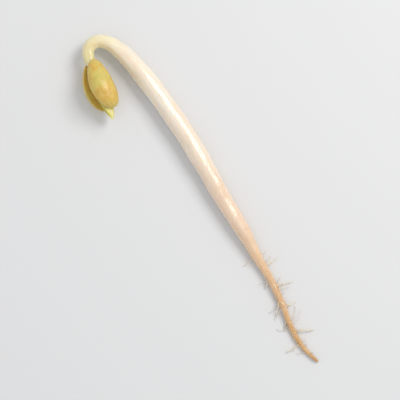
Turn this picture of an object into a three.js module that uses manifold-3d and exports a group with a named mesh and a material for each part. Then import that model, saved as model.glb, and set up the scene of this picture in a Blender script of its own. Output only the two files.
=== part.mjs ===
// A mung bean sprout lying on its side.
//
// Millimetres, +Z up, the surface it lies on is z = 0. +X runs from the root's tip to the hook of the
// stem, and +Y is the side on which the head hangs back from the hook. The origin is on the surface,
// under the middle of the sprout.

import * as THREE from "three";
import { mergeVertices } from "three/addons/utils/BufferGeometryUtils.js";
import Module from "manifold-3d";

const wasm = await Module();
wasm.setup();

// ---- Driving dimensions -------------------------------------------------------------------------

// The plant's axis from the root's tip to the end of the shoot inside the head: the centre's x and y,
// the radius there, and how high the skin's underside is above the surface. A negative height is a
// stretch that is pressed flat where the sprout lies on it.
const AXIS = [
  // tap root
  { x: -36.55, y: -2.75, radius: 0.1, under: 0.3 },
  { x: -36.1, y: -2.6, radius: 0.24, under: 0.16 },
  { x: -34.4, y: -2.1, radius: 0.36, under: 0.02 },
  { x: -31.2, y: -1.75, radius: 0.46, under: -0.02 },
  { x: -27.6, y: -2.1, radius: 0.53, under: 0.02 },
  { x: -23.6, y: -2.95, radius: 0.61, under: 0.06 },
  { x: -19.4, y: -3.5, radius: 0.68, under: 0.05 },
  { x: -15.6, y: -3.65, radius: 0.8, under: 0.02 },
  // collar, where the root widens into the stem
  { x: -12.6, y: -3.8, radius: 1.03, under: 0.0 },
  { x: -9.8, y: -4.05, radius: 1.3, under: -0.05 },
  { x: -6.2, y: -4.15, radius: 1.5, under: -0.1 },
  // hypocotyl, the thick white stem
  { x: -0.8, y: -4.25, radius: 1.63, under: -0.1 },
  { x: 5.6, y: -4.65, radius: 1.74, under: -0.1 },
  { x: 12.2, y: -4.8, radius: 1.84, under: -0.1 },
  { x: 18.4, y: -4.65, radius: 1.9, under: -0.1 },
  { x: 24.0, y: -4.25, radius: 1.84, under: -0.1 },
  { x: 28.4, y: -3.7, radius: 1.68, under: 0.02 },
  // hook
  { x: 31.7, y: -2.95, radius: 1.47, under: 0.34 },
  { x: 34.1, y: -1.75, radius: 1.31, under: 0.85 },
  { x: 35.2, y: -0.05, radius: 1.2, under: 1.33 },
  { x: 34.7, y: 1.65, radius: 1.13, under: 1.79 },
  { x: 33.3, y: 2.45, radius: 1.06, under: 2.1 },
  { x: 32.2, y: 2.72, radius: 0.98, under: 2.27 },
  { x: 31.55, y: 2.84, radius: 0.62, under: 2.6 },
  // epicotyl, the thin shoot between the two seed leaves
  { x: 31.1, y: 2.93, radius: 0.44, under: 2.75 },
  { x: 30.1, y: 3.12, radius: 0.38, under: 2.75 },
];
const AXIS_SIDES = 16;
const AXIS_STEPS_PER_POINT = 4;
const CLASPED_POINTS = 6;      // how many of the last points of the axis the seed leaves clasp
const THINNEST = 0.05;         // radius, anywhere on a rod

// Side rootlets along the tap root, evenly spaced apart from a random part. They break out to the
// left and the right in turn, lean towards the root's tip, curl, and arch up before they droop.
const ROOTLET = {
  count: 9, fromX: -32, toX: -13,
  margin: 0.15,                // share of its own stretch of root that stays free at each end
  shortest: 1.6, longest: 4.2,
  radius: 0.22, tipRadius: 0.1,
  leastLean: 10, mostLean: 55, // degrees from straight sideways
  mostCurl: 30,                // degrees, to either side
  mostArch: 0.18,              // share of its length
  bends: 4, sides: 6, steps: 5,
  seed: 20,
};

// The head hangs back from the end of the hook, along the stem and a little away from it.
const HEAD = {
  x: 31.9, y: 2.78, z: 3.25,   // where the seed leaves are fixed
  swing: 11,                   // degrees away from the stem, seen from above
  dip: 2,                      // degrees down towards the surface
  roll: 32,                    // degrees about its own length, which turns the slit up on the outer side
};

// A seed leaf is half a bean: flat inside, domed outside, with its hilum edge towards the stem. Its
// base clasps the end of the stem.
const COTYLEDON = {
  length: 9.7, width: 4.7, thickness: 2.15,
  innerBulge: 0.1,             // how far the inner face is from flat
  bow: 0.6,                    // how far the middle stands to the outer side of the two ends
  swell: 0.12,                 // share by which the far end is broader and thicker than the middle
  start: -0.95,                // from the end of the stem
  halfGap: 0.5,                // between the flat inner face and the head's middle, at the base
  splay: 6,                    // degrees by which each half opens
  clearance: 0.1,              // round the end of the stem
  segments: 24, rings: 18,
};

// The two first leaves lie face to face between the seed leaves, and their tips look out.
const LEAF = {
  length: 8.6, width: 3.1, thickness: 0.6,
  stalk: 0.3, tip: 0.06,       // half the width at the two ends
  fullness: 0.85,              // 1 is a plain sine outline, and less is fuller and widest further back
  arch: 0.62,                  // how far the tip stands off the other leaf
  fold: 0.2,                   // how far the midrib stands out of the blade's margins
  wave: 0.05, waves: 1.43,     // height and number of the waves along the margins
  drift: 0.35,                 // of the tip to one side
  start: 1.95, halfGap: 0.06,
  crosswise: 6, lengthwise: 16,
};

const COLOURS = { stem: "#f4ead9", cotyledon: "#d9b75a", leaf: "#e6d98c" };
const SATIN = 0.45;            // roughness of moist skin

const { degToRad, lerp } = THREE.MathUtils;

// ---- Solids -------------------------------------------------------------------------------------

const MERGE_DISTANCE = 1e-4;

function asManifold(geometry) {
  const bare = geometry.clone();
  bare.deleteAttribute("normal");
  bare.deleteAttribute("uv");
  const merged = mergeVertices(bare, MERGE_DISTANCE);
  const vertProperties = new Float32Array(merged.attributes.position.array);
  const triVerts = new Uint32Array(merged.index.array);
  return new wasm.Manifold(new wasm.Mesh({ numProp: 3, vertProperties, triVerts }));
}

function indexedGeometry(places, indices) {
  const geometry = new THREE.BufferGeometry();
  geometry.setAttribute("position", new THREE.BufferAttribute(new Float32Array(places), 3));
  geometry.setIndex(new THREE.BufferAttribute(new Uint32Array(indices), 1));
  geometry.computeVertexNormals();
  return geometry;
}

function asGeometry(manifold) {
  const { vertProperties, triVerts } = manifold.getMesh();
  return indexedGeometry(vertProperties, triVerts);
}

function named(name, geometry, colour) {
  const material = new THREE.MeshStandardMaterial({ color: colour, roughness: SATIN, metalness: 0 });
  const mesh = new THREE.Mesh(geometry, material);
  mesh.name = name;
  return mesh;
}

// A round, closed rod along the given centres, whose radius follows the given radii. Nothing of it
// goes below the surface: what would is pressed flat.
function rod(centres, radii, sides, steps) {
  const path = new THREE.CatmullRomCurve3(centres, false, "centripetal");
  const thickness = new THREE.SplineCurve(radii.map((radius, i) => new THREE.Vector2(i, radius)));
  const geometry = new THREE.CylinderGeometry(1, 1, 1, sides, steps);
  const position = geometry.attributes.position;
  const up = new THREE.Vector3(0, 0, 1);
  const halfSide = Math.PI / sides;
  for (let i = 0; i < position.count; i++) {
    const along = 0.5 - position.getY(i);
    const place = path.getPoint(along);
    const radius = Math.max(thickness.getPoint(along).y, THINNEST);
    const tangent = path.getTangent(along);
    const sideways = new THREE.Vector3().crossVectors(up, tangent).normalize();
    const upwards = new THREE.Vector3().crossVectors(tangent, sideways);
    // Turned by half a side, so that a flat of the section faces down.
    const section = new THREE.Vector2(position.getX(i), position.getZ(i))
      .rotateAround(new THREE.Vector2(), halfSide)
      .multiplyScalar(radius);
    place.addScaledVector(sideways, section.x).addScaledVector(upwards, section.y);
    position.setXYZ(i, place.x, place.y, Math.max(place.z, 0));
  }
  return geometry;
}

// ---- Stem and root ------------------------------------------------------------------------------

// The rod round the axis, or round a stretch of it, with its skin this much further out.
function axisRod(stretch, clearance = 0) {
  const centres = stretch.map(({ x, y, radius, under }) => new THREE.Vector3(x, y, radius + under));
  const radii = stretch.map(({ radius }) => radius + clearance);
  return rod(centres, radii, AXIS_SIDES, (stretch.length - 1) * AXIS_STEPS_PER_POINT);
}

function axisCentreAt(x) {
  const next = AXIS.findIndex((point) => point.x > x);
  const [before, after] = [AXIS[next - 1], AXIS[next]]
    .map((point) => new THREE.Vector3(point.x, point.y, point.radius + point.under));
  return before.lerp(after, (x - before.x) / (after.x - before.x));
}

// Park and Miller's generator, so that the rootlets are the same every time.
function seededRandom(seed) {
  const multiplier = 16807;
  const modulus = 2147483647;
  let state = seed;
  return () => {
    state = (state * multiplier) % modulus;
    return state / modulus;
  };
}

function rootlet(number, random) {
  const { count, fromX, toX, margin, radius, tipRadius, bends } = ROOTLET;
  const share = number + lerp(margin, 1 - margin, random());
  const base = axisCentreAt(lerp(fromX, toX, share / count));
  const side = number % 2 === 0 ? 1 : -1;
  const length = lerp(ROOTLET.shortest, ROOTLET.longest, random());
  const heading = degToRad(90 + lerp(ROOTLET.leastLean, ROOTLET.mostLean, random())) * side;
  const curl = degToRad(lerp(-ROOTLET.mostCurl, ROOTLET.mostCurl, random()));
  const arch = length * ROOTLET.mostArch * random();
  const centres = [base];
  const radii = [radius];
  for (let bend = 1; bend <= bends; bend++) {
    const t = bend / bends;
    const angle = heading + curl * t;
    const previous = centres[bend - 1];
    const height = lerp(base.z, tipRadius, t) + arch * 4 * t * (1 - t);
    centres.push(new THREE.Vector3(
      previous.x + Math.cos(angle) * length / bends,
      previous.y + Math.sin(angle) * length / bends,
      Math.max(height, radius),
    ));
    radii.push(lerp(radius, tipRadius, t * t));
  }
  return rod(centres, radii, ROOTLET.sides, ROOTLET.steps);
}

function stemAndRoot() {
  const random = seededRandom(ROOTLET.seed);
  let solid = asManifold(axisRod(AXIS));
  for (let number = 0; number < ROOTLET.count; number++) {
    solid = solid.add(asManifold(rootlet(number, random)));
  }
  return asGeometry(solid);
}

// ---- Seed leaves --------------------------------------------------------------------------------
// In the head's own frame, x runs from the end of the stem along the head, y across it towards the
// stem, and z from the lower seed leaf to the upper one. side is +1 for the upper of a pair.

function cotyledonGeometry(side) {
  const { length, width, thickness, innerBulge, bow, segments, rings } = COTYLEDON;
  const geometry = new THREE.SphereGeometry(1, segments, rings);
  const position = geometry.attributes.position;
  for (let i = 0; i < position.count; i++) {
    const outwards = position.getX(i);
    const along = position.getY(i);
    const across = position.getZ(i) * side;
    const swell = 1 + COTYLEDON.swell * along;
    const depth = outwards > 0 ? thickness * outwards : innerBulge * outwards;
    position.setXYZ(
      i,
      length / 2 * (1 + along),
      width / 2 * across * swell + bow * (along * along - 0.5),
      side * depth * swell,
    );
  }
  return geometry;
}

// The end of the stem is cut out of the seed leaf's base, with a little clearance.
function placedCotyledon(name, side, head) {
  const mesh = named(name, cotyledonGeometry(side), COLOURS.cotyledon);
  mesh.position.set(COTYLEDON.start, 0, side * COTYLEDON.halfGap);
  mesh.rotation.y = -side * degToRad(COTYLEDON.splay);
  head.add(mesh);
  head.updateMatrixWorld(true);
  const stemEnd = axisRod(AXIS.slice(-CLASPED_POINTS), COTYLEDON.clearance);
  stemEnd.applyMatrix4(mesh.matrixWorld.clone().invert());
  mesh.geometry = asGeometry(asManifold(mesh.geometry).subtract(asManifold(stemEnd)));
}

// ---- First leaves -------------------------------------------------------------------------------

// A place on the blade: face is 0 on the side of the other leaf and 1 outside, along runs from 0 at
// the stalk to 1 at the tip, and across from -1 to 1 between the margins. The two halves of the blade
// fold down from the midrib towards the other leaf, and the blade arches outwards.
function leafPlace(side, face, along, across) {
  const { length, width, thickness, stalk, tip, fullness, arch, fold, wave, waves, drift } = LEAF;
  const bulge = Math.sin(Math.PI * along ** fullness) ** fullness;
  const halfWidth = lerp(stalk, tip, along) + (width / 2 - stalk) * bulge;
  const ridge = fold * (1 - Math.abs(across)) * Math.sin(Math.PI * along);
  const ripple = wave * Math.sin(2 * Math.PI * waves * along) * across ** 2;
  return [
    length * along,
    halfWidth * across - side * drift * along,
    side * (face * thickness + arch * along ** 2 + ridge + ripple),
  ];
}

// The triangles of a closed blade of two grids and a rim. Both grids have the same diagonals.
function leafTriangles(side) {
  const { crosswise, lengthwise } = LEAF;
  const row = crosswise + 1;
  const layer = row * (lengthwise + 1);
  const triangles = [];
  const quad = (a, b, c, d) => triangles.push([a, b, c], [a, c, d]);
  for (let i = 0; i < lengthwise; i++) {
    for (let j = 0; j < crosswise; j++) {
      const a = i * row + j;
      const [b, c, d] = [a + row, a + row + 1, a + 1];
      quad(a + layer, b + layer, c + layer, d + layer);
      quad(a, d, c, b);
    }
    const left = i * row;
    const right = left + crosswise;
    quad(left, left + row, left + row + layer, left + layer);
    quad(right + row, right, right + layer, right + row + layer);
  }
  for (let j = 0; j < crosswise; j++) {
    const end = lengthwise * row + j;
    quad(j + 1, j, j + layer, j + 1 + layer);
    quad(end, end + 1, end + 1 + layer, end + layer);
  }
  // The lower leaf is the upper one's mirror image, so its triangles turn the other way.
  return triangles.flatMap(([a, b, c]) => (side > 0 ? [a, b, c] : [a, c, b]));
}

function leafGeometry(side) {
  const { crosswise, lengthwise } = LEAF;
  const places = [];
  for (const face of [0, 1]) {
    for (let i = 0; i <= lengthwise; i++) {
      for (let j = 0; j <= crosswise; j++) {
        places.push(...leafPlace(side, face, i / lengthwise, 2 * j / crosswise - 1));
      }
    }
  }
  return indexedGeometry(places, leafTriangles(side));
}

function placedLeaf(name, side, head) {
  const mesh = named(name, leafGeometry(side), COLOURS.leaf);
  mesh.position.set(LEAF.start, 0, side * LEAF.halfGap);
  head.add(mesh);
}

// ---- Assembly -----------------------------------------------------------------------------------

function headGroup() {
  const head = new THREE.Group();
  head.position.set(HEAD.x, HEAD.y, HEAD.z);
  head.rotation.set(-degToRad(HEAD.roll), degToRad(HEAD.dip), degToRad(180 - HEAD.swing), "ZYX");
  placedCotyledon("cotyledon_upper", 1, head);
  placedCotyledon("cotyledon_lower", -1, head);
  placedLeaf("first_leaf_upper", 1, head);
  placedLeaf("first_leaf_lower", -1, head);
  return head;
}

const sprout = new THREE.Group();
sprout.add(named("stem_and_root", stemAndRoot(), COLOURS.stem), headGroup());

export default sprout;
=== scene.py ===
# %% [markdown]
# # A mung bean sprout
#
# A mung bean sprout is a seedling a few days old. It was grown in the dark, so it is pale and plump.
# From one end to the other it is one plant: a thin tan tap root with side rootlets, a thick white
# stem, a hook, and a head of two yellow bean halves with the first two leaves between them.
#
# This lesson dresses a plain, faceted model of the sprout. Each solid is replaced by a finer piece in
# the same place, and each piece gets a material that behaves like living tissue.

# %% Load the frame
import bisect
import math

import bmesh
import bpy
from mathutils import Matrix, Vector, geometry


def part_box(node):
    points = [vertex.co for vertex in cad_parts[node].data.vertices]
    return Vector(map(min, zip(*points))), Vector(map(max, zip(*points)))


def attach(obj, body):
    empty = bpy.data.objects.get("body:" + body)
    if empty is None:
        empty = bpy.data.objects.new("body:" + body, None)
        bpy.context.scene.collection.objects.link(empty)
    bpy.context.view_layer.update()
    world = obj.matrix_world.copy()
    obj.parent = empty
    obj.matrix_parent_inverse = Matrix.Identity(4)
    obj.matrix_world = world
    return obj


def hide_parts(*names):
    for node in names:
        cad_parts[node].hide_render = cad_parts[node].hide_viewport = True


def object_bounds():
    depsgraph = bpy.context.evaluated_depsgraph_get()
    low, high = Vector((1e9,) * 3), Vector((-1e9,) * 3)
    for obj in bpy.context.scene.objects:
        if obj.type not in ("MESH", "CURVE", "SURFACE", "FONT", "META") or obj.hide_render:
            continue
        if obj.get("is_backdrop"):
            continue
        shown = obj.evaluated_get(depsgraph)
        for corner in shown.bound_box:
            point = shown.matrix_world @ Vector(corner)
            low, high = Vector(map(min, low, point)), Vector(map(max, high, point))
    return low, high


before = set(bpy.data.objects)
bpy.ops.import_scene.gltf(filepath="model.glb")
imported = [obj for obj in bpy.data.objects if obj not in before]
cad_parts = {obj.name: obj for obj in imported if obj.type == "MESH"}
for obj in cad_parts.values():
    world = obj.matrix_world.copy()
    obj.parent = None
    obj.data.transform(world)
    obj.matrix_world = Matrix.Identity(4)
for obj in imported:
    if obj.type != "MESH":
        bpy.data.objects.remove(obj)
solid_low, solid_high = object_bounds()

MM = 0.001
print("solids:", sorted(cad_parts))

# %% [markdown]
# ## Taking hold of things
#
# Blender's operators act on whatever is selected, as a hand does. So every step starts by letting go
# of everything, and then takes hold of just one piece. A modifier is a step that could still be
# changed. Applying it makes the mesh what it shows, and the next step starts from there.


# %% Take, let go, apply
def release():
    if bpy.context.object and bpy.context.object.mode != "OBJECT":
        bpy.ops.object.mode_set(mode="OBJECT")
    bpy.ops.object.select_all(action="DESELECT")


def take(piece):
    release()
    piece.select_set(True)
    bpy.context.view_layer.objects.active = piece


def finish_modifier(piece, modifier):
    take(piece)
    bpy.ops.object.modifier_apply(modifier=modifier.name)


def report(piece):
    faces = len(piece.data.polygons)
    sizes = " x ".join(f"{side / MM:.1f}" for side in piece.dimensions)
    print(f"{piece.name}: {faces} faces, {sizes} mm")


# %% [markdown]
# ## Relief
#
# Nothing that grew is quite even. The unevenness could be sculpted with a brush, but a modifier does
# it the same way on every run. A Displace modifier with a cloud texture pushes the skin in and out by
# a few hundredths of a millimetre. The clouds are read in the frame of an empty, and when that is
# stretched along x, round dents become long ridges, or, when it is squeezed, creases across. A vertex
# group can limit the relief to a part of the piece.


# %% Dents
def dent(piece, name, size, depth, stretch=1.0, where=""):
    """Relief of about this size and depth, in millimetres, in the vertex group named by where."""
    release()
    bpy.ops.object.empty_add(location=(0, 0, 0))
    stretched = bpy.context.object
    stretched.scale = (stretch, 1, 1)
    clouds = bpy.data.textures.new(name, "CLOUDS")
    clouds.noise_scale = size * MM
    relief = piece.modifiers.new(name, "DISPLACE")
    relief.texture = clouds
    relief.texture_coords = "OBJECT"
    relief.texture_coords_object = stretched
    relief.strength = 2 * depth * MM
    relief.vertex_group = where
    finish_modifier(piece, relief)
    bpy.data.objects.remove(stretched)
    bpy.data.textures.remove(clouds)


def weigh_vertices(piece, name, weight):
    """Makes a vertex group from a function of a vertex's place, in millimetres."""
    group = piece.vertex_groups.new(name=name)
    for vertex in piece.data.vertices:
        group.add([vertex.index], weight(vertex.co / MM), "REPLACE")
    return name


# %% [markdown]
# ## The sprout's measures
#
# These are the same driving sizes as those of the solids, in millimetres. Each knot of the axis has
# the centre's x and y, the radius there, and how high the skin's underside is above the surface.

# %% Measures
AXIS = [
    # tap root
    (-36.55, -2.75, 0.10, 0.30),
    (-36.10, -2.60, 0.24, 0.16),
    (-34.40, -2.10, 0.36, 0.02),
    (-31.20, -1.75, 0.46, -0.02),
    (-27.60, -2.10, 0.53, 0.02),
    (-23.60, -2.95, 0.61, 0.06),
    (-19.40, -3.50, 0.68, 0.05),
    (-15.60, -3.65, 0.80, 0.02),
    # collar
    (-12.60, -3.80, 1.03, 0.00),
    (-9.80, -4.05, 1.30, -0.05),
    (-6.20, -4.15, 1.50, -0.10),
    # stem
    (-0.80, -4.25, 1.63, -0.10),
    (5.60, -4.65, 1.74, -0.10),
    (12.20, -4.80, 1.84, -0.10),
    (18.40, -4.65, 1.90, -0.10),
    (24.00, -4.25, 1.84, -0.10),
    (28.40, -3.70, 1.68, 0.02),
    # hook
    (31.70, -2.95, 1.47, 0.34),
    (34.10, -1.75, 1.31, 0.85),
    (35.20, -0.05, 1.20, 1.33),
    (34.70, 1.65, 1.13, 1.79),
    (33.30, 2.45, 1.06, 2.10),
    (32.20, 2.72, 0.98, 2.27),
    (31.55, 2.84, 0.62, 2.60),
    # shoot between the seed leaves
    (31.10, 2.93, 0.44, 2.75),
    (30.10, 3.12, 0.38, 2.75),
]
axis_places = [Vector((x, y, radius + under)) * MM for x, y, radius, under in AXIS]
axis_radii = [radius * MM for _, _, radius, _ in AXIS]
print(f"{len(AXIS)} knots, thickest {2 * max(axis_radii) / MM:.1f} mm")

# %% [markdown]
# ## A rod that is grown straight and then bent
#
# The stem, the root and every rootlet are round rods of changing thickness. A curve with a bevel is
# the quick way to make one, but all its sections would be the same circle. Here a disc is extruded
# step by step instead, and each new end is scaled and turned a little, as a potter pulls a handle.
# The rod is straight at first. Before it is bent, each vertex notes its own place in an attribute, in
# millimetres, so that the skin's pattern can follow the plant round every bend. A Curve modifier then
# lays the rod along its route.

# %% The route
CURVE_STEPS = 32                            # between two knots


def lay_guide(places):
    """A smooth curve through the places. Returns it with the distance of each knot along it."""
    release()
    bpy.ops.curve.primitive_bezier_curve_add(location=(0, 0, 0))
    guide = bpy.context.object
    guide.data.dimensions = "3D"
    guide.data.twist_mode = "Z_UP"
    guide.data.resolution_u = CURVE_STEPS
    knots = guide.data.splines[0].bezier_points
    knots.add(len(places) - 2)
    for knot, place in zip(knots, places):
        knot.co = place
        knot.handle_left_type = knot.handle_right_type = "AUTO"
    distances = [0.0]
    for a, b in zip(knots, knots[1:]):
        points = geometry.interpolate_bezier(
            a.co, a.handle_right, b.handle_left, b.co, CURVE_STEPS + 1
        )
        distances.append(distances[-1] + sum((q - p).length for p, q in zip(points, points[1:])))
    return guide, distances


def eased(values, distances, distance):
    """The value at a distance, on a smooth curve through the knots' values."""
    last = len(values) - 1
    i = min(max(bisect.bisect(distances, distance) - 1, 0), last - 1)
    t = (distance - distances[i]) / (distances[i + 1] - distances[i])
    before, a, b, after = (values[min(max(k, 0), last)] for k in (i - 1, i, i + 1, i + 2))
    slope_a, slope_b = (b - before) / 2, (after - a) / 2
    return (
        (2 * t**3 - 3 * t**2 + 1) * a + (t**3 - 2 * t**2 + t) * slope_a
        + (3 * t**2 - 2 * t**3) * b + (t**3 - t**2) * slope_b
    )


# %% The rod
def point_faces_outwards(piece):
    take(piece)
    bpy.ops.object.mode_set(mode="EDIT")
    bpy.ops.mesh.select_all(action="SELECT")
    bpy.ops.mesh.normals_make_consistent(inside=False)
    bpy.ops.object.mode_set(mode="OBJECT")


def extrude_rod(name, sides, length, step, radius_at, turn=0.0, shape_first=None):
    """Pulls a disc along x, in steps, with radius_at(distance) as its radius."""
    release()
    radius = radius_at(0)
    bpy.ops.mesh.primitive_circle_add(
        vertices=sides, radius=radius, fill_type="NGON", rotation=(0, math.pi / 2, 0)
    )
    rod = bpy.context.object
    rod.name = name
    bpy.ops.object.transform_apply(rotation=True)
    bpy.ops.object.mode_set(mode="EDIT")
    bpy.ops.mesh.select_all(action="SELECT")
    if shape_first:
        shape_first(rod)
    count = max(round(length / step), 2)
    for i in range(1, count + 1):
        along = length * i / count
        growth = radius_at(along) / radius
        radius = radius_at(along)
        bpy.ops.mesh.extrude_region_move(TRANSFORM_OT_translate={"value": (length / count, 0, 0)})
        bpy.ops.transform.resize(value=(1, growth, growth), center_override=(along, 0, 0))
        if turn:
            bpy.ops.transform.rotate(value=turn, orient_axis="X", center_override=(along, 0, 0))
    point_faces_outwards(rod)
    return rod


# %% Notes and bend
def note_straight_place(rod, start=0.0):
    """Stores where each vertex is while the rod is straight, in millimetres."""
    noted = rod.data.attributes.new("grown_straight", "FLOAT_VECTOR", "POINT")
    for vertex in rod.data.vertices:
        noted.data[vertex.index].vector = vertex.co / MM + Vector((start, 0, 0))


def note_rootlet_share(rod, reach):
    """Stores how far out on a rootlet each vertex is: 0 at its start and 1 from reach onwards.

    The plant's own rod has no reach, so it gets 0 all over.
    """
    noted = rod.data.attributes.new("rootlet_share", "FLOAT", "POINT")
    for vertex in rod.data.vertices:
        noted.data[vertex.index].value = min(vertex.co.x / reach, 1.0) if reach else 0.0


def bend_along(rod, guide):
    bend = rod.modifiers.new("bend", "CURVE")
    bend.object = guide
    bend.deform_axis = "POS_X"
    finish_modifier(rod, bend)
    bpy.data.objects.remove(guide)


# %% [markdown]
# ## Stem and root
#
# A real stem isn't a drawn circle: strands of vessels run up inside it and raise faint ribs, and it
# swells and dents where it grew past its neighbours. The first disc gets the ribs, so that every
# later section has them, slowly turning. The radius follows the measures, with two slow waves on it.

# %% Ribs and thickness
RIBS = [(7, 0.018, 0.0), (3, 0.011, 1.0)]   # how many, their share of the radius, and a phase
WAVES = [(20.3, 0.020, 0.0), (7.6, 0.012, 2.0)]     # each one's length in mm, share and phase
BLUNTNESS = 0.12                            # share of the radius that is left at a rod's end
SHOOT_ROUNDING = 0.4 * MM


def rib_the_disc(rod):
    """Pushes the rim of the disc in and out a little, at the ribs."""
    shell = bmesh.from_edit_mesh(rod.data)
    for vertex in shell.verts:
        angle = math.atan2(vertex.co.z, vertex.co.y)
        vertex.co *= 1 + sum(share * math.cos(count * angle + phase) for count, share, phase in RIBS)
    bmesh.update_edit_mesh(rod.data)


def rounded_end(distance, length, reach):
    """A share that falls from 1 in a quarter circle, over the last reach of a rod."""
    into_end = max(0.0, distance - (length - reach)) / reach
    return max(math.sqrt(max(1 - into_end**2, 0.0)), BLUNTNESS)


def axis_radius(distance):
    waves = sum(
        share * math.sin(2 * math.pi * distance / (wave * MM) + phase)
        for wave, share, phase in WAVES
    )
    radius = eased(axis_radii, knot_distances, distance) * (1 + waves)
    return radius * rounded_end(distance, axis_length, SHOOT_ROUNDING)


# %% The straight plant
AXIS_SIDES = 64
AXIS_STEP = 0.16 * MM
AXIS_TURN = math.radians(0.07)              # from each step to the next

axis_guide, knot_distances = lay_guide(axis_places)
axis_length = knot_distances[-1]
stem = extrude_rod(
    "stem_and_root_skin", AXIS_SIDES, axis_length, AXIS_STEP, axis_radius, AXIS_TURN, rib_the_disc
)
print(f"the axis is {axis_length / MM:.1f} mm long along its middle")

# %% [markdown]
# Now the relief, while the rod is still straight. Soft dents, small dents and long ridges go all
# over. The root has been pushed about by its neighbours, so it is rougher. Where the hook bends, the
# skin on the inside is squeezed, and it creases across.

# %% Zones of the relief
ROOT_END, STEM_START = 20, 28               # millimetres along the axis
HOOK_MIDDLE, HOOK_REACH = 73.5, 5.0


def on_root(place):
    return min(max((STEM_START - place.x) / (STEM_START - ROOT_END), 0.0), 1.0)


def inside_hook(place):
    """The inside of the bend is on the rod's +y side."""
    in_bend = max(0.0, 1 - abs(place.x - HOOK_MIDDLE) / HOOK_REACH)
    off_axis = math.hypot(place.y, place.z)
    facing = max(0.0, place.y / off_axis) if off_axis else 0.0
    return math.sqrt(in_bend) * facing


# %% Relief of the plant
root_zone = weigh_vertices(stem, "root", on_root)
hook_zone = weigh_vertices(stem, "inside of hook", inside_hook)
dent(stem, "soft dents", size=3.2, depth=0.06)
dent(stem, "small dents", size=1.3, depth=0.025, stretch=2.2)
dent(stem, "long ridges", size=0.55, depth=0.03, stretch=14)
dent(stem, "root swellings", size=1.5, depth=0.09, stretch=1.5, where=root_zone)
dent(stem, "root skin", size=0.3, depth=0.03, stretch=3, where=root_zone)
dent(stem, "hook creases", size=0.45, depth=0.08, stretch=0.45, where=hook_zone)
dent(stem, "fine unevenness", size=0.7, depth=0.01)
note_straight_place(stem)
note_rootlet_share(stem, reach=0)
bend_along(stem, axis_guide)
report(stem)

# %% [markdown]
# ## Side rootlets
#
# Side rootlets break out through the skin of the tap root, so each has a small swelling at its foot.
# They are soft threads of nearly even thickness that lie where they fall. They are rods as well, and
# each follows a rule with seeded random draws: where it starts, to which side it goes, how far it
# leans towards the root's tip, how it curls and how high it arches before it droops to the surface.


# %% The course of a rootlet
MULTIPLIER, MODULUS = 16807, 2**31 - 1
WAVER_PACE = 2.4                            # radians from one bend to the next


def seeded(seed):
    """Park and Miller's generator, as for the solids: the same numbers every time."""
    state = seed
    while True:
        state = state * MULTIPLIER % MODULUS
        yield state / MODULUS


def between(low, high, share):
    return low + (high - low) * share


def axis_at(x):
    """The centre and the radius of the axis at x, all in millimetres."""
    after = next(i for i, knot in enumerate(AXIS) if knot[0] > x)
    share = (x - AXIS[after - 1][0]) / (AXIS[after][0] - AXIS[after - 1][0])
    place = axis_places[after - 1].lerp(axis_places[after], share)
    return place / MM, between(axis_radii[after - 1], axis_radii[after], share) / MM


def rootlet_course(base, length, heading, curl, arch, lowest, bends=4, waver=0.0):
    """Places from the root's middle outwards, in millimetres. Angles are in degrees."""
    places = [base]
    for bend in range(1, bends + 1):
        t = bend / bends
        angle = math.radians(heading + curl * t + waver * math.sin(WAVER_PACE * bend))
        step = Vector((math.cos(angle), math.sin(angle), 0)) * length / bends
        height = between(base.z, lowest, t) + arch * 4 * t * (1 - t)
        places.append(places[-1] + step)
        places[-1].z = max(height, lowest)
    return places


# %% One rootlet
ROOTLET_STEP = 0.14 * MM
FOOT_SWELLING, FOOT_REACH = 0.5, 0.35 * MM
ROOTLET_THINNING = 0.4                      # share of the radius that is lost towards the tip
ROOTLET_DENTS, ROOTLET_UNEVENNESS = 0.9, 0.25   # size in mm, and depth as a share of the radius
PALE_FROM = 0.6                             # share of the length


def grow_rootlet(name, places, radius, buried, sides):
    """radius is in millimetres, and so is buried, how deep in the root the rootlet starts."""
    guide, distances = lay_guide([place * MM for place in places])
    length = distances[-1]

    def radius_at(distance):
        foot = min(max(1 - (distance - buried * MM) / FOOT_REACH, 0.0), 1.0)
        thinning = 1 - ROOTLET_THINNING * distance / length
        end = rounded_end(distance, length, 2 * radius * MM)
        return radius * MM * (1 + FOOT_SWELLING * foot) * thinning * end

    rootlet = extrude_rod(name, sides, length, ROOTLET_STEP, radius_at)
    dent(rootlet, name, size=ROOTLET_DENTS, depth=ROOTLET_UNEVENNESS * radius)
    note_straight_place(rootlet, start=places[0].x - AXIS[0][0])
    note_rootlet_share(rootlet, PALE_FROM * length)
    bend_along(rootlet, guide)
    return rootlet


# %% [markdown]
# The stout rootlets repeat the rule of the solids, with the same seed, so they lie where those do.
# They are drawn thinner, because a faceted rod has to be stouter than a soft thread. Lengths are in
# millimetres and angles in degrees. A lean is measured from straight sideways.

# %% Stout rootlets
STOUT_COUNT, STOUT_FROM, STOUT_TO = 9, -32, -13
STOUT_MARGIN = 0.15                         # share of its own stretch that stays free at each end
STOUT_LENGTHS, STOUT_LEANS = (1.6, 4.2), (10, 55)
STOUT_CURL, STOUT_ARCH = 30, 0.18           # the most, and the arch as a share of the length
STOUT_RADIUS, STOUT_SIDES = 0.13, 12
STOUT_SEED = 20

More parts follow.
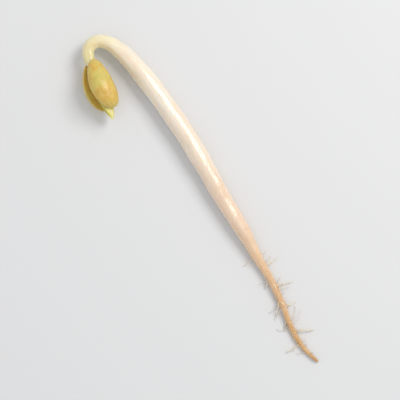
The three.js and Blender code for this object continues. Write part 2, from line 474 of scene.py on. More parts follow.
draw = seeded(STOUT_SEED)
rootlets = []
for i in range(STOUT_COUNT):
    stretch = i + between(STOUT_MARGIN, 1 - STOUT_MARGIN, next(draw))
    base, buried = axis_at(between(STOUT_FROM, STOUT_TO, stretch / STOUT_COUNT))
    side = 1 if i % 2 == 0 else -1
    length = between(*STOUT_LENGTHS, next(draw))
    heading = side * (90 + between(*STOUT_LEANS, next(draw)))
    curl = between(-STOUT_CURL, STOUT_CURL, next(draw))
    arch = STOUT_ARCH * length * next(draw)
    course = rootlet_course(base, length, heading, curl, arch, STOUT_RADIUS)
    rootlets.append(grow_rootlet(f"rootlet_{i}", course, STOUT_RADIUS, buried, STOUT_SIDES))
print(len(rootlets), "stout rootlets")

# %% [markdown]
# The fine rootlets exist only here. There are many short ones and few long ones, some lean the other
# way, and they curl and waver more.

# %% Fine rootlets
FINE_COUNT, FINE_FROM, FINE_TO = 30, -34, -12
FINE_LENGTHS, FINE_LEANS = (0.9, 3.9), (-20, 55)
FINE_SHORTNESS = 1.6                        # above 1, short ones are more common
FINE_CURL, FINE_ARCH, FINE_WAVER = 75, 0.36, 30
FINE_RADIUS, FINE_SIDES, FINE_BENDS = 0.065, 8, 6
FINE_SEED = 77

draw = seeded(FINE_SEED)
for i in range(FINE_COUNT):
    base, buried = axis_at(between(FINE_FROM, FINE_TO, next(draw)))
    side = 1 if next(draw) > 0.5 else -1
    length = between(*FINE_LENGTHS, next(draw) ** FINE_SHORTNESS)
    heading = side * (90 + between(*FINE_LEANS, next(draw)))
    curl = between(-FINE_CURL, FINE_CURL, next(draw))
    arch = FINE_ARCH * length * next(draw)
    waver = between(-FINE_WAVER, FINE_WAVER, next(draw))
    course = rootlet_course(base, length, heading, curl, arch, FINE_RADIUS, FINE_BENDS, waver)
    rootlets.append(grow_rootlet(f"fine_rootlet_{i}", course, FINE_RADIUS, buried, FINE_SIDES))
print(len(rootlets), "rootlets in all")

# %% [markdown]
# ## One skin
#
# The rootlets could just stick in the root, but then their feet would show a hard seam. One Boolean
# union joins them all to the plant, so that its skin is a single closed surface. Last, the underside
# is pressed flat where the sprout lies on the surface.


# %% Fuse and press flat
SLIVER = 0.002 * MM                         # faces thinner than this are closed up


def fuse(piece, others):
    group = bpy.data.collections.new("to fuse")
    bpy.context.scene.collection.children.link(group)
    for other in others:
        group.objects.link(other)
    union = piece.modifiers.new("union", "BOOLEAN")
    union.operation = "UNION"
    union.operand_type = "COLLECTION"
    union.collection = group
    union.solver = "MANIFOLD"
    finish_modifier(piece, union)
    for other in others:
        bpy.data.objects.remove(other)
    bpy.data.collections.remove(group)
    take(piece)
    bpy.ops.object.mode_set(mode="EDIT")
    bpy.ops.mesh.select_all(action="SELECT")
    bpy.ops.mesh.dissolve_degenerate(threshold=SLIVER)
    bpy.ops.object.mode_set(mode="OBJECT")


def pick_vertices(piece, wanted):
    """In edit mode, selects just the vertices whose place passes the test."""
    shell = bmesh.from_edit_mesh(piece.data)
    for vertex in shell.verts:
        vertex.select = wanted(vertex.co)
    shell.select_flush(True)
    shell.select_flush(False)
    bmesh.update_edit_mesh(piece.data)


def press_flat_on_surface(piece):
    """What would reach below the surface is scaled to nothing in height, at the surface."""
    take(piece)
    bpy.ops.object.mode_set(mode="EDIT")
    pick_vertices(piece, lambda place: place.z < 0)
    bpy.ops.transform.resize(value=(1, 1, 0), center_override=(0, 0, 0))
    bpy.ops.object.mode_set(mode="OBJECT")


fuse(stem, rootlets)
press_flat_on_surface(stem)
report(stem)

# %% [markdown]
# ## The head's own frame
#
# The head hangs back from the end of the hook. In its own frame, x runs along the head from the
# stem's end, y points across it towards the stem, and z from the lower seed leaf to the upper one.
# The seed leaves and first leaves are made there, where their shape is simple, and then carried over.

# %% Head frame
HEAD_PLACE = Vector((31.9, 2.78, 3.25)) * MM
HEAD_SWING, HEAD_DIP, HEAD_ROLL = (math.radians(angle) for angle in (11, 2, 32))
HEAD_FRAME = (
    Matrix.Translation(HEAD_PLACE)
    @ Matrix.Rotation(math.pi - HEAD_SWING, 4, "Z")
    @ Matrix.Rotation(HEAD_DIP, 4, "Y")
    @ Matrix.Rotation(-HEAD_ROLL, 4, "X")
)
SAME_ROW = 0.001 * MM                       # vertices closer than this stand in the same row
ROW_DIGITS = 7                              # decimals that tell one row from the next


def settle(piece, place):
    """Carries a piece from its own frame to its place, and writes the place into its mesh."""
    take(piece)
    piece.matrix_world = HEAD_FRAME @ place
    bpy.ops.object.transform_apply(location=True, rotation=True, scale=True)


def row_places(piece, axis=0):
    """Where the piece's rows of vertices stand along an axis: 0 is x, 1 is y."""
    return sorted({round(vertex.co[axis], ROW_DIGITS) for vertex in piece.data.vertices})


def subdivide_surface(piece):
    rounding = piece.modifiers.new("rounding", "SUBSURF")
    rounding.levels = rounding.render_levels = 1
    finish_modifier(piece, rounding)


print("the head points to", [round(value, 2) for value in HEAD_FRAME.col[0][:3]])

# %% [markdown]
# ## Seed leaves
#
# A seed leaf is half of the bean: flat inside, domed outside, with one straighter edge, where the
# bean's eye was. A cube with a subdivision surface could be pulled into that shape, but a sphere with
# its poles at the two ends has a ring at every place along it, and each can be shaped by a formula.
# The inner half is scaled almost flat. Then each ring is scaled and moved sideways, which makes the
# far end broader and bows the whole half like a kidney. Its sharp rim is smoothed. The plant has been
# living on this store for days, so its skin is no longer tight: soft dents, long wrinkles and pores
# are laid over it.

# %% Half a bean
SEED_LENGTH, SEED_WIDTH, SEED_THICKNESS = (size * MM for size in (9.7, 4.7, 2.15))
SEED_SEGMENTS, SEED_RINGS = 88, 72
SEED_INNER_BULGE, SEED_BOW = 0.1 * MM, 0.6 * MM
SEED_SWELL = 0.12                           # a share of the width and thickness, at the far end
SEED_RIM, SEED_RIM_PASSES = 0.25 * MM, 4    # the height over which the rim is rounded, and how often


def flatten_inside(half, side):
    take(half)
    bpy.ops.object.mode_set(mode="EDIT")
    pick_vertices(half, lambda place: place.z * side < -SAME_ROW)
    flatness = SEED_INNER_BULGE / SEED_THICKNESS
    bpy.ops.transform.resize(value=(1, 1, flatness), center_override=(0, 0, 0))
    bpy.ops.object.mode_set(mode="OBJECT")


def bow_rings(half):
    """The middle is moved to one side and the ends to the other, by half of the bow each."""
    rings = row_places(half)
    take(half)
    bpy.ops.object.mode_set(mode="EDIT")
    for x in rings:
        along = x / (SEED_LENGTH / 2)
        swell = 1 + SEED_SWELL * along
        pick_vertices(half, lambda place: abs(place.x - x) < SAME_ROW)
        bpy.ops.transform.resize(value=(1, swell, swell), center_override=(x, 0, 0))
        bpy.ops.transform.translate(value=(0, SEED_BOW * (along * along - 0.5), 0))
    bpy.ops.object.mode_set(mode="OBJECT")


def round_rim(half):
    take(half)
    bpy.ops.object.mode_set(mode="EDIT")
    pick_vertices(half, lambda place: abs(place.z) < SEED_RIM)
    bpy.ops.mesh.vertices_smooth(factor=0.5, repeat=SEED_RIM_PASSES)
    bpy.ops.object.mode_set(mode="OBJECT")


# %% Seed leaf
SEED_START, SEED_HALF_GAP = -0.95 * MM, 0.5 * MM
SEED_SPLAY = math.radians(6)
SEED_CALM_END = 0.6                         # millimetres


def away_from_ends(place):
    """Relief would fold the small faces round the sphere's two poles, so it fades out there."""
    end_distance = min(place.x, SEED_LENGTH / MM - place.x)
    return min(max(end_distance / SEED_CALM_END, 0.0), 1.0)


def grow_seed_leaf(name, side):
    """side is 1 for the upper one and -1 for the lower one."""
    release()
    bpy.ops.mesh.primitive_uv_sphere_add(
        segments=SEED_SEGMENTS, ring_count=SEED_RINGS, radius=1, rotation=(0, math.pi / 2, 0)
    )
    half = bpy.context.object
    half.name = name
    bpy.ops.object.transform_apply(rotation=True)
    half.scale = (SEED_LENGTH / 2, SEED_WIDTH / 2, SEED_THICKNESS)
    bpy.ops.object.transform_apply(scale=True)
    flatten_inside(half, side)
    bow_rings(half)
    round_rim(half)
    half.location.x = SEED_LENGTH / 2
    take(half)
    bpy.ops.object.transform_apply(location=True)
    point_faces_outwards(half)
    subdivide_surface(half)
    body = weigh_vertices(half, "body", away_from_ends)
    dent(half, f"{name} soft dents", size=2.0, depth=0.07, where=body)
    dent(half, f"{name} long wrinkles", size=0.45, depth=0.03, stretch=6, where=body)
    dent(half, f"{name} pores", size=0.16, depth=0.005, where=body)
    place = Matrix.Translation((SEED_START, 0, side * SEED_HALF_GAP))
    settle(half, place @ Matrix.Rotation(-side * SEED_SPLAY, 4, "Y"))
    press_flat_on_surface(half)
    report(half)
    return half


# %% The two seed leaves
seed_upper = grow_seed_leaf("seed_leaf_upper", 1)
seed_lower = grow_seed_leaf("seed_leaf_lower", -1)

# %% [markdown]
# ## First leaves
#
# Two narrow leaves lie face to face between the seed leaves, still folded, with their tips looking
# out. A filled outline would have long thin faces that don't bend well, so the sheet starts as a grid
# and keeps its even rows. First its columns are lifted, highest at the midrib, which gives every row
# the section of a folded blade. Then each row is scaled to the leaf's width and fold there, and moved
# along the leaf's arch.

# %% The leaf's measures
LEAF_LENGTH, LEAF_WIDTH = 8.6 * MM, 3.1 * MM
LEAF_START, LEAF_ROOTED = 1.95 * MM, 0.7 * MM   # the stalk reaches back into the shoot
LEAF_HEIGHT = 0.29 * MM                     # of the blade's middle over the plane between the leaves
LEAF_STALK, LEAF_TIP = 0.3 * MM, 0.06 * MM  # half the width there
LEAF_FULLNESS = 0.85                        # less is fuller, and widest further back
LEAF_ARCH, LEAF_DRIFT = 0.62 * MM, 0.35 * MM
LEAF_FOLD, LEAF_FOLD_SPREAD = 0.2 * MM, 0.7     # less spread takes the fold closer to both ends
LEAF_MIDRIB, LEAF_MIDRIB_WIDTH = 0.07 * MM, 0.16
LEAF_STALK_NARROWING = 0.75                 # share of the stalk's width lost inside the shoot
LEAST_FOLD = 1e-3                           # so that no row is squeezed to a line


def leaf_half_width(along):
    narrow = between(LEAF_STALK, LEAF_TIP, along)
    outline = math.sin(math.pi * along**LEAF_FULLNESS) ** LEAF_FULLNESS
    return narrow + (LEAF_WIDTH / 2 - LEAF_STALK) * outline


widest = 2 * max(leaf_half_width(percent / 100) for percent in range(101))
print(f"a leaf is {widest / MM:.1f} mm wide and {LEAF_LENGTH / MM:.1f} mm long")


# %% Columns and rows
def shape_columns(leaf, side):
    """Lifts the grid's columns, whose y runs from -1 to 1, to the section of a folded blade."""
    columns = row_places(leaf, axis=1)
    take(leaf)
    bpy.ops.object.mode_set(mode="EDIT")
    for y in columns:
        midrib = LEAF_MIDRIB * math.exp(-((y / LEAF_MIDRIB_WIDTH) ** 2))
        lift = LEAF_FOLD * (1 - abs(y)) + midrib
        pick_vertices(leaf, lambda place: abs(place.y - y) < SAME_ROW)
        bpy.ops.transform.translate(value=(0, 0, side * lift))
    bpy.ops.object.mode_set(mode="OBJECT")


def shape_rows(leaf, side):
    rows = row_places(leaf)
    take(leaf)
    bpy.ops.object.mode_set(mode="EDIT")
    for x in rows:
        along = min(max(x / LEAF_LENGTH, 0.0), 1.0)
        rooted = 1 + LEAF_STALK_NARROWING * min(x / LEAF_ROOTED, 0.0)
        half_width = leaf_half_width(along) * rooted
        folded = math.sin(math.pi * along) ** LEAF_FOLD_SPREAD + LEAST_FOLD
        height = LEAF_HEIGHT * rooted + LEAF_ARCH * along**2
        pick_vertices(leaf, lambda place: abs(place.x - x) < SAME_ROW)
        bpy.ops.transform.resize(value=(1, half_width, folded), center_override=(x, 0, 0))
        bpy.ops.transform.translate(value=(0, -side * LEAF_DRIFT * along, side * height))
    bpy.ops.object.mode_set(mode="OBJECT")


# %% [markdown]
# A sheet has no thickness yet. Solidify gives it one, and a vertex group thins the blade towards its
# margin, its tip and the end inside the shoot. A subdivision surface then rounds its edges.

# %% First leaf
LEAF_ROWS, LEAF_COLUMNS = 60, 16
LEAF_THICKNESS = 0.44 * MM
LEAF_THINNER_MARGIN, LEAF_THINNER_TIP, LEAF_THINNER_ROOT = 0.6, 0.8, 0.6    # shares lost there


def leaf_thickness_share(place):
    """The grid's y runs from -1 to 1 in Blender's own units, so it is taken out of millimetres."""
    x, across = place.x * MM, abs(place.y * MM)
    along = min(max(x / LEAF_LENGTH, 0.0), 1.0)
    margin = 1 - LEAF_THINNER_MARGIN * across**1.5
    tip = 1 - LEAF_THINNER_TIP * along**3
    rooted = 1 + LEAF_THINNER_ROOT * min(x / LEAF_ROOTED, 0.0)
    return margin * tip * rooted


def grow_first_leaf(name, side):
    release()
    full_length = LEAF_LENGTH + LEAF_ROOTED
    bpy.ops.mesh.primitive_grid_add(
        x_subdivisions=LEAF_ROWS, y_subdivisions=LEAF_COLUMNS, size=1, calc_uvs=True
    )
    leaf = bpy.context.object
    leaf.name = name
    leaf.scale = (full_length, 2, 1)
    leaf.location.x = full_length / 2 - LEAF_ROOTED
    bpy.ops.object.transform_apply(scale=True, location=True)
    thickness = weigh_vertices(leaf, "thickness", leaf_thickness_share)
    shape_columns(leaf, side)
    shape_rows(leaf, side)
    dent(leaf, f"{name} waves", size=1.3, depth=0.09)
    wall = leaf.modifiers.new("wall", "SOLIDIFY")
    wall.thickness = LEAF_THICKNESS
    wall.offset = 0
    wall.vertex_group = thickness
    finish_modifier(leaf, wall)
    subdivide_surface(leaf)
    settle(leaf, Matrix.Translation((LEAF_START, 0, 0)))
    point_faces_outwards(leaf)
    report(leaf)
    return leaf


# %% The two first leaves
leaf_upper = grow_first_leaf("first_leaf_upper_blade", 1)
leaf_lower = grow_first_leaf("first_leaf_lower_blade", -1)

# %% [markdown]
# ## Materials
#
# Living tissue is mostly water in thin-walled cells. Light goes in, scatters, and comes out again a
# millimetre away, so all three of the plant's materials are Principled shaders with subsurface
# scattering. Their index of refraction is about 1.4, between water and cell wall. Colours are given
# as sRGB hex values, as a colour picker shows them, and one function turns them to linear. Another
# one adds any node.


# %% Colour
def colour(hex_code):
    def linear(value):
        return value / 12.92 if value <= 0.04045 else ((value + 0.055) / 1.055) ** 2.4

    channels = (int(hex_code[i : i + 2], 16) / 255 for i in (1, 3, 5))
    return (*map(linear, channels), 1.0)


print("a mid grey, #808080, is", round(colour("#808080")[0], 3), "in linear light")

# %% Nodes
FACTOR, FIRST, SECOND, MIXED = 0, 6, 7, 2   # the sockets of a Mix node that mixes colours


def add_node(tree, kind, inputs=None, out=0, stops=None, **settings):
    """Adds a node with its settings, links and ramp stops, and returns one of its outputs."""
    made = tree.nodes.new(kind)
    for name, value in settings.items():
        setattr(made, name, value)
    for key, value in (inputs or {}).items():
        if isinstance(value, bpy.types.NodeSocket):
            tree.links.new(value, made.inputs[key])
        else:
            made.inputs[key].default_value = value
    if stops:
        ramp = made.color_ramp.elements
        ramp[0].position, ramp[-1].position = stops[0][0], stops[-1][0]
        for position, _ in stops[1:-1]:
            ramp.new(position)
        for element, (_, shade) in zip(ramp, stops):
            element.color = colour(shade) if isinstance(shade, str) else (shade, shade, shade, 1)
    return made.outputs[out] if made.outputs else None


def new_material(name):
    material = bpy.data.materials.new(name)
    material.use_nodes = True
    material.node_tree.nodes.clear()
    return material, material.node_tree


# %% [markdown]
# ### Skin of the stem and root
#
# The stem grew in the dark, so it has no green: its skin is a clear, moist epidermis over white,
# watery cells. Towards the head it takes a yellow-green tinge, and towards the root it turns to cream
# and tan. A pattern on Object coordinates would cut straight through the hook. This one reads the
# attribute that was noted while the plant was straight, so it runs along the plant round every bend.

# %% Tint along the plant
AXIS_SPAN = axis_length / MM


def tint_along_plant(tree, along):
    """along runs from 0 at the root's tip to 1 at the shoot."""
    return add_node(tree, "ShaderNodeValToRGB", {0: along}, stops=[
        (0.00, "#b68a58"), (0.04, "#d3ad7c"), (0.18, "#deb98e"), (0.27, "#e7c8a6"),
        (0.38, "#eed6be"), (0.56, "#f4e5d3"), (0.72, "#f6ebdc"), (0.84, "#f4ebda"),
        (0.91, "#efe6c0"), (1.00, "#e2d68f"),
    ])


# %% [markdown]
# Strands of vessels show through the skin as long, faint, warmer streaks, and finer fibres between
# them are nearly white. Both are one noise, drawn out along the plant. So are the watery patches,
# where the flesh looks greyer and deeper, and the skin is wetter and glossier.

# %% Streaks, fibres and watery patches
WARM_STRAND, WHITE_FIBRE, WATERY_FLESH = "#ecc7a0", "#fffdf6", "#e3d9c6"


def long_noise(tree, straight, along, across, detail):
    """Noise with this many waves per millimetre along and across the plant."""
    stretched = add_node(
        tree, "ShaderNodeMapping", {0: straight, "Scale": (along, across, across)}
    )
    return add_node(tree, "ShaderNodeTexNoise", {0: stretched, "Scale": 1.0, "Detail": detail})


def flesh_tint(tree, tint, streaks, fibres, patches):
    layers = (
        (streaks, [(0.42, 0.0), (0.80, 0.30)], WARM_STRAND, "MULTIPLY"),
        (fibres, [(0.45, 0.0), (0.85, 0.22)], WHITE_FIBRE, "MIX"),
        (patches, [(0.38, 0.0), (0.72, 0.24)], WATERY_FLESH, "MULTIPLY"),
    )
    for noise, stops, shade, how in layers:
        share = add_node(tree, "ShaderNodeValToRGB", {0: noise}, stops=stops)
        tint = add_node(
            tree, "ShaderNodeMix", {FACTOR: share, FIRST: tint, SECOND: colour(shade)}, MIXED,
            data_type="RGBA", blend_type=how,
        )
    return tint


# %% Flecks and rootlets
FLECKS_PER_MM = 1.5
RUST, ROOTLET_CREAM = "#b9804a", "#f0dec2"
ROOTLET_PALENESS = 0.75


def fleck_tint(tree, tint, straight, along):
    """Soft rusty flecks where the root rubbed on its neighbours, and none on the upper stem."""
    noise = add_node(tree, "ShaderNodeTexNoise", {
        0: straight, "Scale": FLECKS_PER_MM, "Detail": 1.5, "Roughness": 0.45,
    })
    spots = add_node(tree, "ShaderNodeValToRGB", {0: noise}, stops=[(0.62, 0.0), (0.78, 1.0)])
    zone = add_node(
        tree, "ShaderNodeValToRGB", {0: along},
        stops=[(0.0, 0.8), (0.25, 0.5), (0.40, 0.15), (0.6, 0.0)],
    )
    flecks = add_node(tree, "ShaderNodeMath", {0: spots, 1: zone}, operation="MULTIPLY")
    return add_node(
        tree, "ShaderNodeMix", {FACTOR: flecks, FIRST: tint, SECOND: colour(RUST)}, MIXED,
        data_type="RGBA",
    )


def rootlet_tint(tree, tint):
    """Young rootlets are paler than the root that they grow from."""
    share = add_node(tree, "ShaderNodeAttribute", out="Fac", attribute_name="rootlet_share")
    paler = add_node(
        tree, "ShaderNodeMath", {0: share, 1: ROOTLET_PALENESS}, operation="MULTIPLY"
    )
    return add_node(
        tree, "ShaderNodeMix", {FACTOR: paler, FIRST: tint, SECOND: colour(ROOTLET_CREAM)}, MIXED,
        data_type="RGBA",
    )


# %% [markdown]
# The skin's gloss has two layers: a fairly smooth surface, and a thin coat for the film of water on
# it. The skin's bumps come from the strands, the fibres and the cells. Real cells are a twentieth of
# a millimetre wide, and are drawn a little coarser here, so that they still show. A coat has a normal
# of its own. The film fills the cells but follows the strands and fibres, and those break its
# highlight up. With no bumps at all it would look like varnish.

# %% Moist skin
CELLS_PER_MM = 14.0


def skin_bumps(tree, straight, streaks, fibres):
    """Returns the bumps of the skin with its cells, and those of the film, which fills them."""
    strands = add_node(
        tree, "ShaderNodeBump", {"Strength": 0.30, "Distance": 0.15 * MM, "Height": streaks}
    )
    film = add_node(tree, "ShaderNodeBump", {
        "Strength": 0.22, "Distance": 0.05 * MM, "Height": fibres, "Normal": strands,
    })
    cells = add_node(
        tree, "ShaderNodeTexNoise", {0: straight, "Scale": CELLS_PER_MM, "Detail": 1.0}
    )
    skin = add_node(tree, "ShaderNodeBump", {
        "Strength": 0.10, "Distance": 0.05 * MM, "Height": cells, "Normal": film,
    })
    return skin, film


def moist_skin_material():
    material, tree = new_material("moist_stem_and_root_skin")
    straight = add_node(tree, "ShaderNodeAttribute", out="Vector", attribute_name="grown_straight")
    distance = add_node(tree, "ShaderNodeSeparateXYZ", {0: straight}, out="X")
    along = add_node(tree, "ShaderNodeMath", {0: distance, 1: AXIS_SPAN}, operation="DIVIDE")
    streaks = long_noise(tree, straight, along=0.05, across=1.1, detail=1.5)
    fibres = long_noise(tree, straight, along=0.3, across=6.0, detail=1.0)
    patches = long_noise(tree, straight, along=0.18, across=0.7, detail=2.0)
    tint = flesh_tint(tree, tint_along_plant(tree, along), streaks, fibres, patches)
    tint = rootlet_tint(tree, fleck_tint(tree, tint, straight, along))
    wetness = add_node(tree, "ShaderNodeValToRGB", {0: patches}, stops=[(0.35, 0.38), (0.62, 0.2)])
    skin_normal, film_normal = skin_bumps(tree, straight, streaks, fibres)
    skin = add_node(tree, "ShaderNodeBsdfPrincipled", {
        "Base Color": tint, "Roughness": wetness, "IOR": 1.4,
        "Subsurface Weight": 0.9, "Subsurface Radius": (1.0, 0.85, 0.65),
        "Subsurface Scale": 1.6 * MM, "Coat Weight": 0.6, "Coat Roughness": 0.1,
        "Normal": skin_normal, "Coat Normal": film_normal,
    })
    add_node(tree, "ShaderNodeOutputMaterial", {0: skin})
    return material


moist_skin = moist_skin_material()
print(moist_skin.name, "has", len(moist_skin.node_tree.nodes), "nodes")

# %% [markdown]
# ### Skin of the seed leaves
#
# The bean halves are yellow, because they are full of starch and protein and never saw light. They
# are drier than the stem: a satin skin under a faint coat, whose soft highlight the wrinkles break
# up. Greener and browner patches and small brown marks keep them from looking like wax, and painted
# shade darkens the troughs of the wrinkles. The wrinkles run along the head. So their Mapping node
# is of the texture type, which stretches the pattern first and then turns it into place, as an
# object would be.

# %% Seed leaf tint
PATCHES_PER_MM = 0.42
MARKS_PER_MM = 1.7
# the first colour is painted shade for the troughs of the wrinkles, the second is real brown marks
PAINTED_WRINKLE_SHADE, BRUISE = "#c9963f", "#9a6a2c"


def seed_leaf_tint(tree, in_mm, wrinkles):
    patches = add_node(
        tree, "ShaderNodeTexNoise", {0: in_mm, "Scale": PATCHES_PER_MM, "Detail": 3.0}
    )
    tint = add_node(tree, "ShaderNodeValToRGB", {0: patches}, stops=[
        (0.30, "#d6c76a"), (0.48, "#dfc568"), (0.62, "#dfba59"), (0.78, "#e8cd84"),
    ])
    # Painted shade: where the wrinkles' bump is lowest, in their troughs, the tint is darkened.
    crease_shade_share = add_node(tree, "ShaderNodeValToRGB", {0: wrinkles}, stops=[(0.36, 0.25), (0.52, 0.0)])
    crease_shaded_tint = add_node(
        tree, "ShaderNodeMix", {FACTOR: crease_shade_share, FIRST: tint, SECOND: colour(PAINTED_WRINKLE_SHADE)}, MIXED,
        data_type="RGBA", blend_type="MULTIPLY",
    )
    noise = add_node(tree, "ShaderNodeTexNoise", {
        0: in_mm, "Scale": MARKS_PER_MM, "Detail": 5.0, "Roughness": 0.65,
    })
    marks = add_node(tree, "ShaderNodeValToRGB", {0: noise}, stops=[(0.66, 0.0), (0.76, 0.4)])
    return add_node(
        tree, "ShaderNodeMix", {FACTOR: marks, FIRST: crease_shaded_tint, SECOND: colour(BRUISE)}, MIXED,
        data_type="RGBA",
    )


# %% Satin skin
WRINKLES_PER_MM, WRINKLE_STRETCH = 2.6, 4.5
MM_PER_METRE = 1 / MM


def seed_leaf_material():
    material, tree = new_material("satin_seed_leaf_skin")
    here = add_node(tree, "ShaderNodeTexCoord", out="Object")
    in_mm = add_node(tree, "ShaderNodeMapping", {0: here, "Scale": [MM_PER_METRE] * 3})
    lengthwise = add_node(tree, "ShaderNodeMapping", {
        0: in_mm, "Rotation": (0, 0, -HEAD_SWING), "Scale": (WRINKLE_STRETCH, 1.0, 1.0),
    }, vector_type="TEXTURE")
    wrinkles = add_node(
        tree, "ShaderNodeTexNoise", {0: lengthwise, "Scale": WRINKLES_PER_MM, "Detail": 4.0}
    )
    bump = add_node(
        tree, "ShaderNodeBump", {"Strength": 0.5, "Distance": 0.12 * MM, "Height": wrinkles}
    )
    skin = add_node(tree, "ShaderNodeBsdfPrincipled", {
        "Base Color": seed_leaf_tint(tree, in_mm, wrinkles), "Roughness": 0.4, "IOR": 1.42,
        "Subsurface Weight": 0.3, "Subsurface Radius": (1.0, 0.6, 0.2),
        "Subsurface Scale": 0.6 * MM, "Coat Weight": 0.35, "Coat Roughness": 0.2,
        "Normal": bump, "Coat Normal": bump,
    })
    add_node(tree, "ShaderNodeOutputMaterial", {0: skin})
    return material


satin_skin = seed_leaf_material()
print(satin_skin.name, "has", len(satin_skin.node_tree.nodes), "nodes")

# %% [markdown]
# ### Blade of the first leaves
#
# The first leaves are thin, pale yellow and just turning green at the margins. Their veins are
# lighter. The grid's own UV map runs along and across the leaf, so veins drawn in it follow the blade:
# the midrib is its middle line, and the side veins are slanting lines at even distances.

# %% Leaf veins
VEINS, VEIN_SLANT = 7.0, 2.2                # pairs along the leaf, and how far each runs forward


def side_veins(tree, uv, across):
    """1 on a side vein and 0 between them. The veins fade towards the margin."""
    along = add_node(tree, "ShaderNodeSeparateXYZ", {0: uv}, out="X")
    run = add_node(tree, "ShaderNodeMath", {0: along, 1: VEINS}, operation="MULTIPLY")
    slant = add_node(tree, "ShaderNodeMath", {0: across, 1: VEIN_SLANT}, operation="MULTIPLY")
    phase = add_node(tree, "ShaderNodeMath", {0: run, 1: slant}, operation="SUBTRACT")
    saw = add_node(tree, "ShaderNodeMath", {0: phase, 1: 0.5}, operation="PINGPONG")
    lines = add_node(tree, "ShaderNodeValToRGB", {0: saw}, stops=[(0.0, 0.6), (0.12, 0.0)])
    fading = add_node(tree, "ShaderNodeValToRGB", {0: across}, stops=[(0.25, 1.0), (0.46, 0.1)])
    return add_node(tree, "ShaderNodeMath", {0: lines, 1: fading}, operation="MULTIPLY")


# %% Leaf tint
MOTTLES_PER_MM = 2.2
PALE_VEIN, LEAF_GREEN = "#f6efc0", "#b9b04e"


def leaf_tint(tree, across, veins):
    """across is 0 on the midrib and 0.5 on the margins."""
    tint = add_node(tree, "ShaderNodeValToRGB", {0: across}, stops=[
        (0.0, "#f4ecc0"), (0.06, "#ecdf9c"), (0.35, "#e4d888"), (0.5, "#cdc86c"),
    ])
    here = add_node(tree, "ShaderNodeTexCoord", out="Object")
    noise = add_node(
        tree, "ShaderNodeTexNoise", {0: here, "Scale": MOTTLES_PER_MM * MM_PER_METRE, "Detail": 3.0}
    )
    mottles = add_node(tree, "ShaderNodeValToRGB", {0: noise}, stops=[(0.45, 0.0), (0.8, 0.35)])
    for share, shade in ((veins, PALE_VEIN), (mottles, LEAF_GREEN)):
        tint = add_node(
            tree, "ShaderNodeMix", {FACTOR: share, FIRST: tint, SECOND: colour(shade)}, MIXED,
            data_type="RGBA",
        )
    return tint


# %% Leaf blade
def first_leaf_material():
    material, tree = new_material("young_leaf_blade")
    uv = add_node(tree, "ShaderNodeUVMap", uv_map="UVMap")
    side = add_node(tree, "ShaderNodeSeparateXYZ", {0: uv}, out="Y")
    centred = add_node(tree, "ShaderNodeMath", {0: side, 1: 0.5}, operation="SUBTRACT")
    across = add_node(tree, "ShaderNodeMath", {0: centred}, operation="ABSOLUTE")
    veins = side_veins(tree, uv, across)
    bump = add_node(
        tree, "ShaderNodeBump", {"Strength": 0.4, "Distance": 0.06 * MM, "Height": veins}
    )
    blade = add_node(tree, "ShaderNodeBsdfPrincipled", {
        "Base Color": leaf_tint(tree, across, veins), "Roughness": 0.45, "IOR": 1.4,
        "Subsurface Weight": 0.4, "Subsurface Radius": (0.8, 0.9, 0.3),
        "Subsurface Scale": 0.5 * MM, "Normal": bump,
    })
    add_node(tree, "ShaderNodeOutputMaterial", {0: blade})
    return material


leaf_blade = first_leaf_material()
print(leaf_blade.name, "has", len(leaf_blade.node_tree.nodes), "nodes")

# %% [markdown]
# ## Dress the pieces
#
# Each piece gets its material, stands for its solid, and rides on the sprout's only body. The cell
# also prints how far each piece's box departs from the box of the solid that it stands for.

# %% Dress the pieces
SHARP = math.radians(60)                    # a steeper edge than this stays a crisp line


def dress(piece, material, node):
    piece.data.materials.clear()
    piece.data.materials.append(material)
    take(piece)
    bpy.ops.object.shade_smooth_by_angle(angle=SHARP)
    corners = [Vector(corner) for corner in piece.bound_box]
    own_box = [[pick(c[axis] for c in corners) for axis in range(3)] for pick in (min, max)]
    gaps = [abs(a - b) for own, solid in zip(own_box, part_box(node)) for a, b in zip(own, solid)]
    print(f"{piece.name}: {max(gaps) / MM:.2f} mm from the box of {node}")
    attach(piece, "root")
    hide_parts(node)


dress(stem, moist_skin, "stem_and_root")
dress(seed_upper, satin_skin, "cotyledon_upper")
dress(seed_lower, satin_skin, "cotyledon_lower")
dress(leaf_upper, leaf_blade, "first_leaf_upper")
dress(leaf_lower, leaf_blade, "first_leaf_lower")

# %% [markdown]
# ## Floor, light and camera
#
# The sprout lies on a plain pale floor under soft studio light. The camera looks straight down
# through a long lens, turned so that the head is at the top left and the root at the bottom right.

# %% Floor
FLOOR_SIDE = 1.2                            # metres

release()
bpy.ops.mesh.primitive_plane_add(size=FLOOR_SIDE, location=(0, 0, 0))
floor = bpy.context.object
floor.name = "floor"
matte_board, board_tree = new_material("matte_white_board")
board = add_node(
    board_tree, "ShaderNodeBsdfPrincipled", {"Base Color": colour("#e6e7e8"), "Roughness": 0.7}
)
add_node(board_tree, "ShaderNodeOutputMaterial", {0: board})
floor.data.materials.append(matte_board)
floor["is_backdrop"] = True
print(f"the floor is {FLOOR_SIDE} m wide")

# %% [markdown]
# A soft box is the main light. A bare lamp would give the moist skin hard white dots. This one stands
# high on the right, so that its reflection runs along the stem as one soft line. A larger and weaker
# one fills in the shadows from the other side, and the room itself is an even pale light.

# %% Light
VIEW_TURN = math.radians(-122.8)            # from +x to the picture's right, seen from above
ROOM_STRENGTH = 0.64


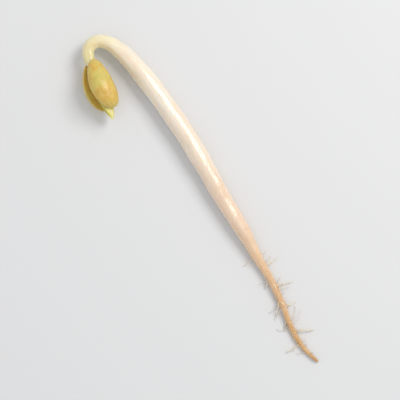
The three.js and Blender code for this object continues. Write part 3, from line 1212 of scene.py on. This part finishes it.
def soft_box(name, bearing, elevation, distance, size, power, tone):
    """A square lamp, with its size and distance in metres and its power in watts.

    Its bearing is an angle in the picture: 0 is the right and 90 the top.
    """
    release()
    bpy.ops.object.light_add(type="AREA")
    lamp = bpy.context.object
    lamp.name = name
    lamp.data.shape = "SQUARE"
    lamp.data.size = size
    lamp.data.energy = power
    lamp.data.color = colour(tone)[:3]
    turn, rise = math.radians(bearing) + VIEW_TURN, math.radians(elevation)
    way = Vector((math.cos(turn) * math.cos(rise), math.sin(turn) * math.cos(rise), math.sin(rise)))
    lamp.location = way * distance
    lamp.rotation_euler = (-way).to_track_quat("-Z", "Y").to_euler()
    print(f"{name}: {power} W, {size} m wide, {distance} m away")


soft_box("key", 40, 48, distance=0.45, size=0.2, power=1.0, tone="#fffbf6")
soft_box("fill", 200, 55, distance=0.55, size=0.5, power=0.2, tone="#f6f8ff")
room = bpy.data.worlds.new("pale room")
room.use_nodes = True
room.node_tree.nodes["Background"].inputs["Color"].default_value = colour("#f7f8fa")
room.node_tree.nodes["Background"].inputs["Strength"].default_value = ROOM_STRENGTH
bpy.context.scene.world = room

# %% Camera
VIEW_SIDE = 74 * MM                         # what the square picture spans
SENSOR, LENS = 36.0, 135.0                  # millimetres in the camera
AIM = Vector((0.2, 0.7, 0)) * MM            # in the picture's own axes, right and up
NEAREST, FURTHEST = 0.01, 5                 # metres from the camera, and nothing shows beyond

release()
distance = VIEW_SIDE * LENS / SENSOR
turned = Matrix.Rotation(VIEW_TURN, 4, "Z")
bpy.ops.object.camera_add(location=turned @ (AIM + Vector((0, 0, distance))))
camera = bpy.context.object
camera.rotation_euler = (0, 0, VIEW_TURN)
camera.data.lens = LENS
camera.data.sensor_width = SENSOR
camera.data.clip_start, camera.data.clip_end = NEAREST, FURTHEST
bpy.context.scene.camera = camera
bpy.context.scene.view_settings.view_transform = "Standard"
print(f"the camera is {distance / MM:.0f} mm above the floor")

# %% [markdown]
# ## Sizes and finish
#
# The dressed sprout must not outgrow its solids, so both boxes are kept side by side and printed.

# %% Sizes and finish
visual_low, visual_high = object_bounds()
sizes = {
    "cad": [list(solid_low), list(solid_high)],
    "visual": [list(visual_low), list(visual_high)],
}
for name, (low, high) in sizes.items():
    print(name, [round(corner / MM, 2) for corner in (*low, *high)])
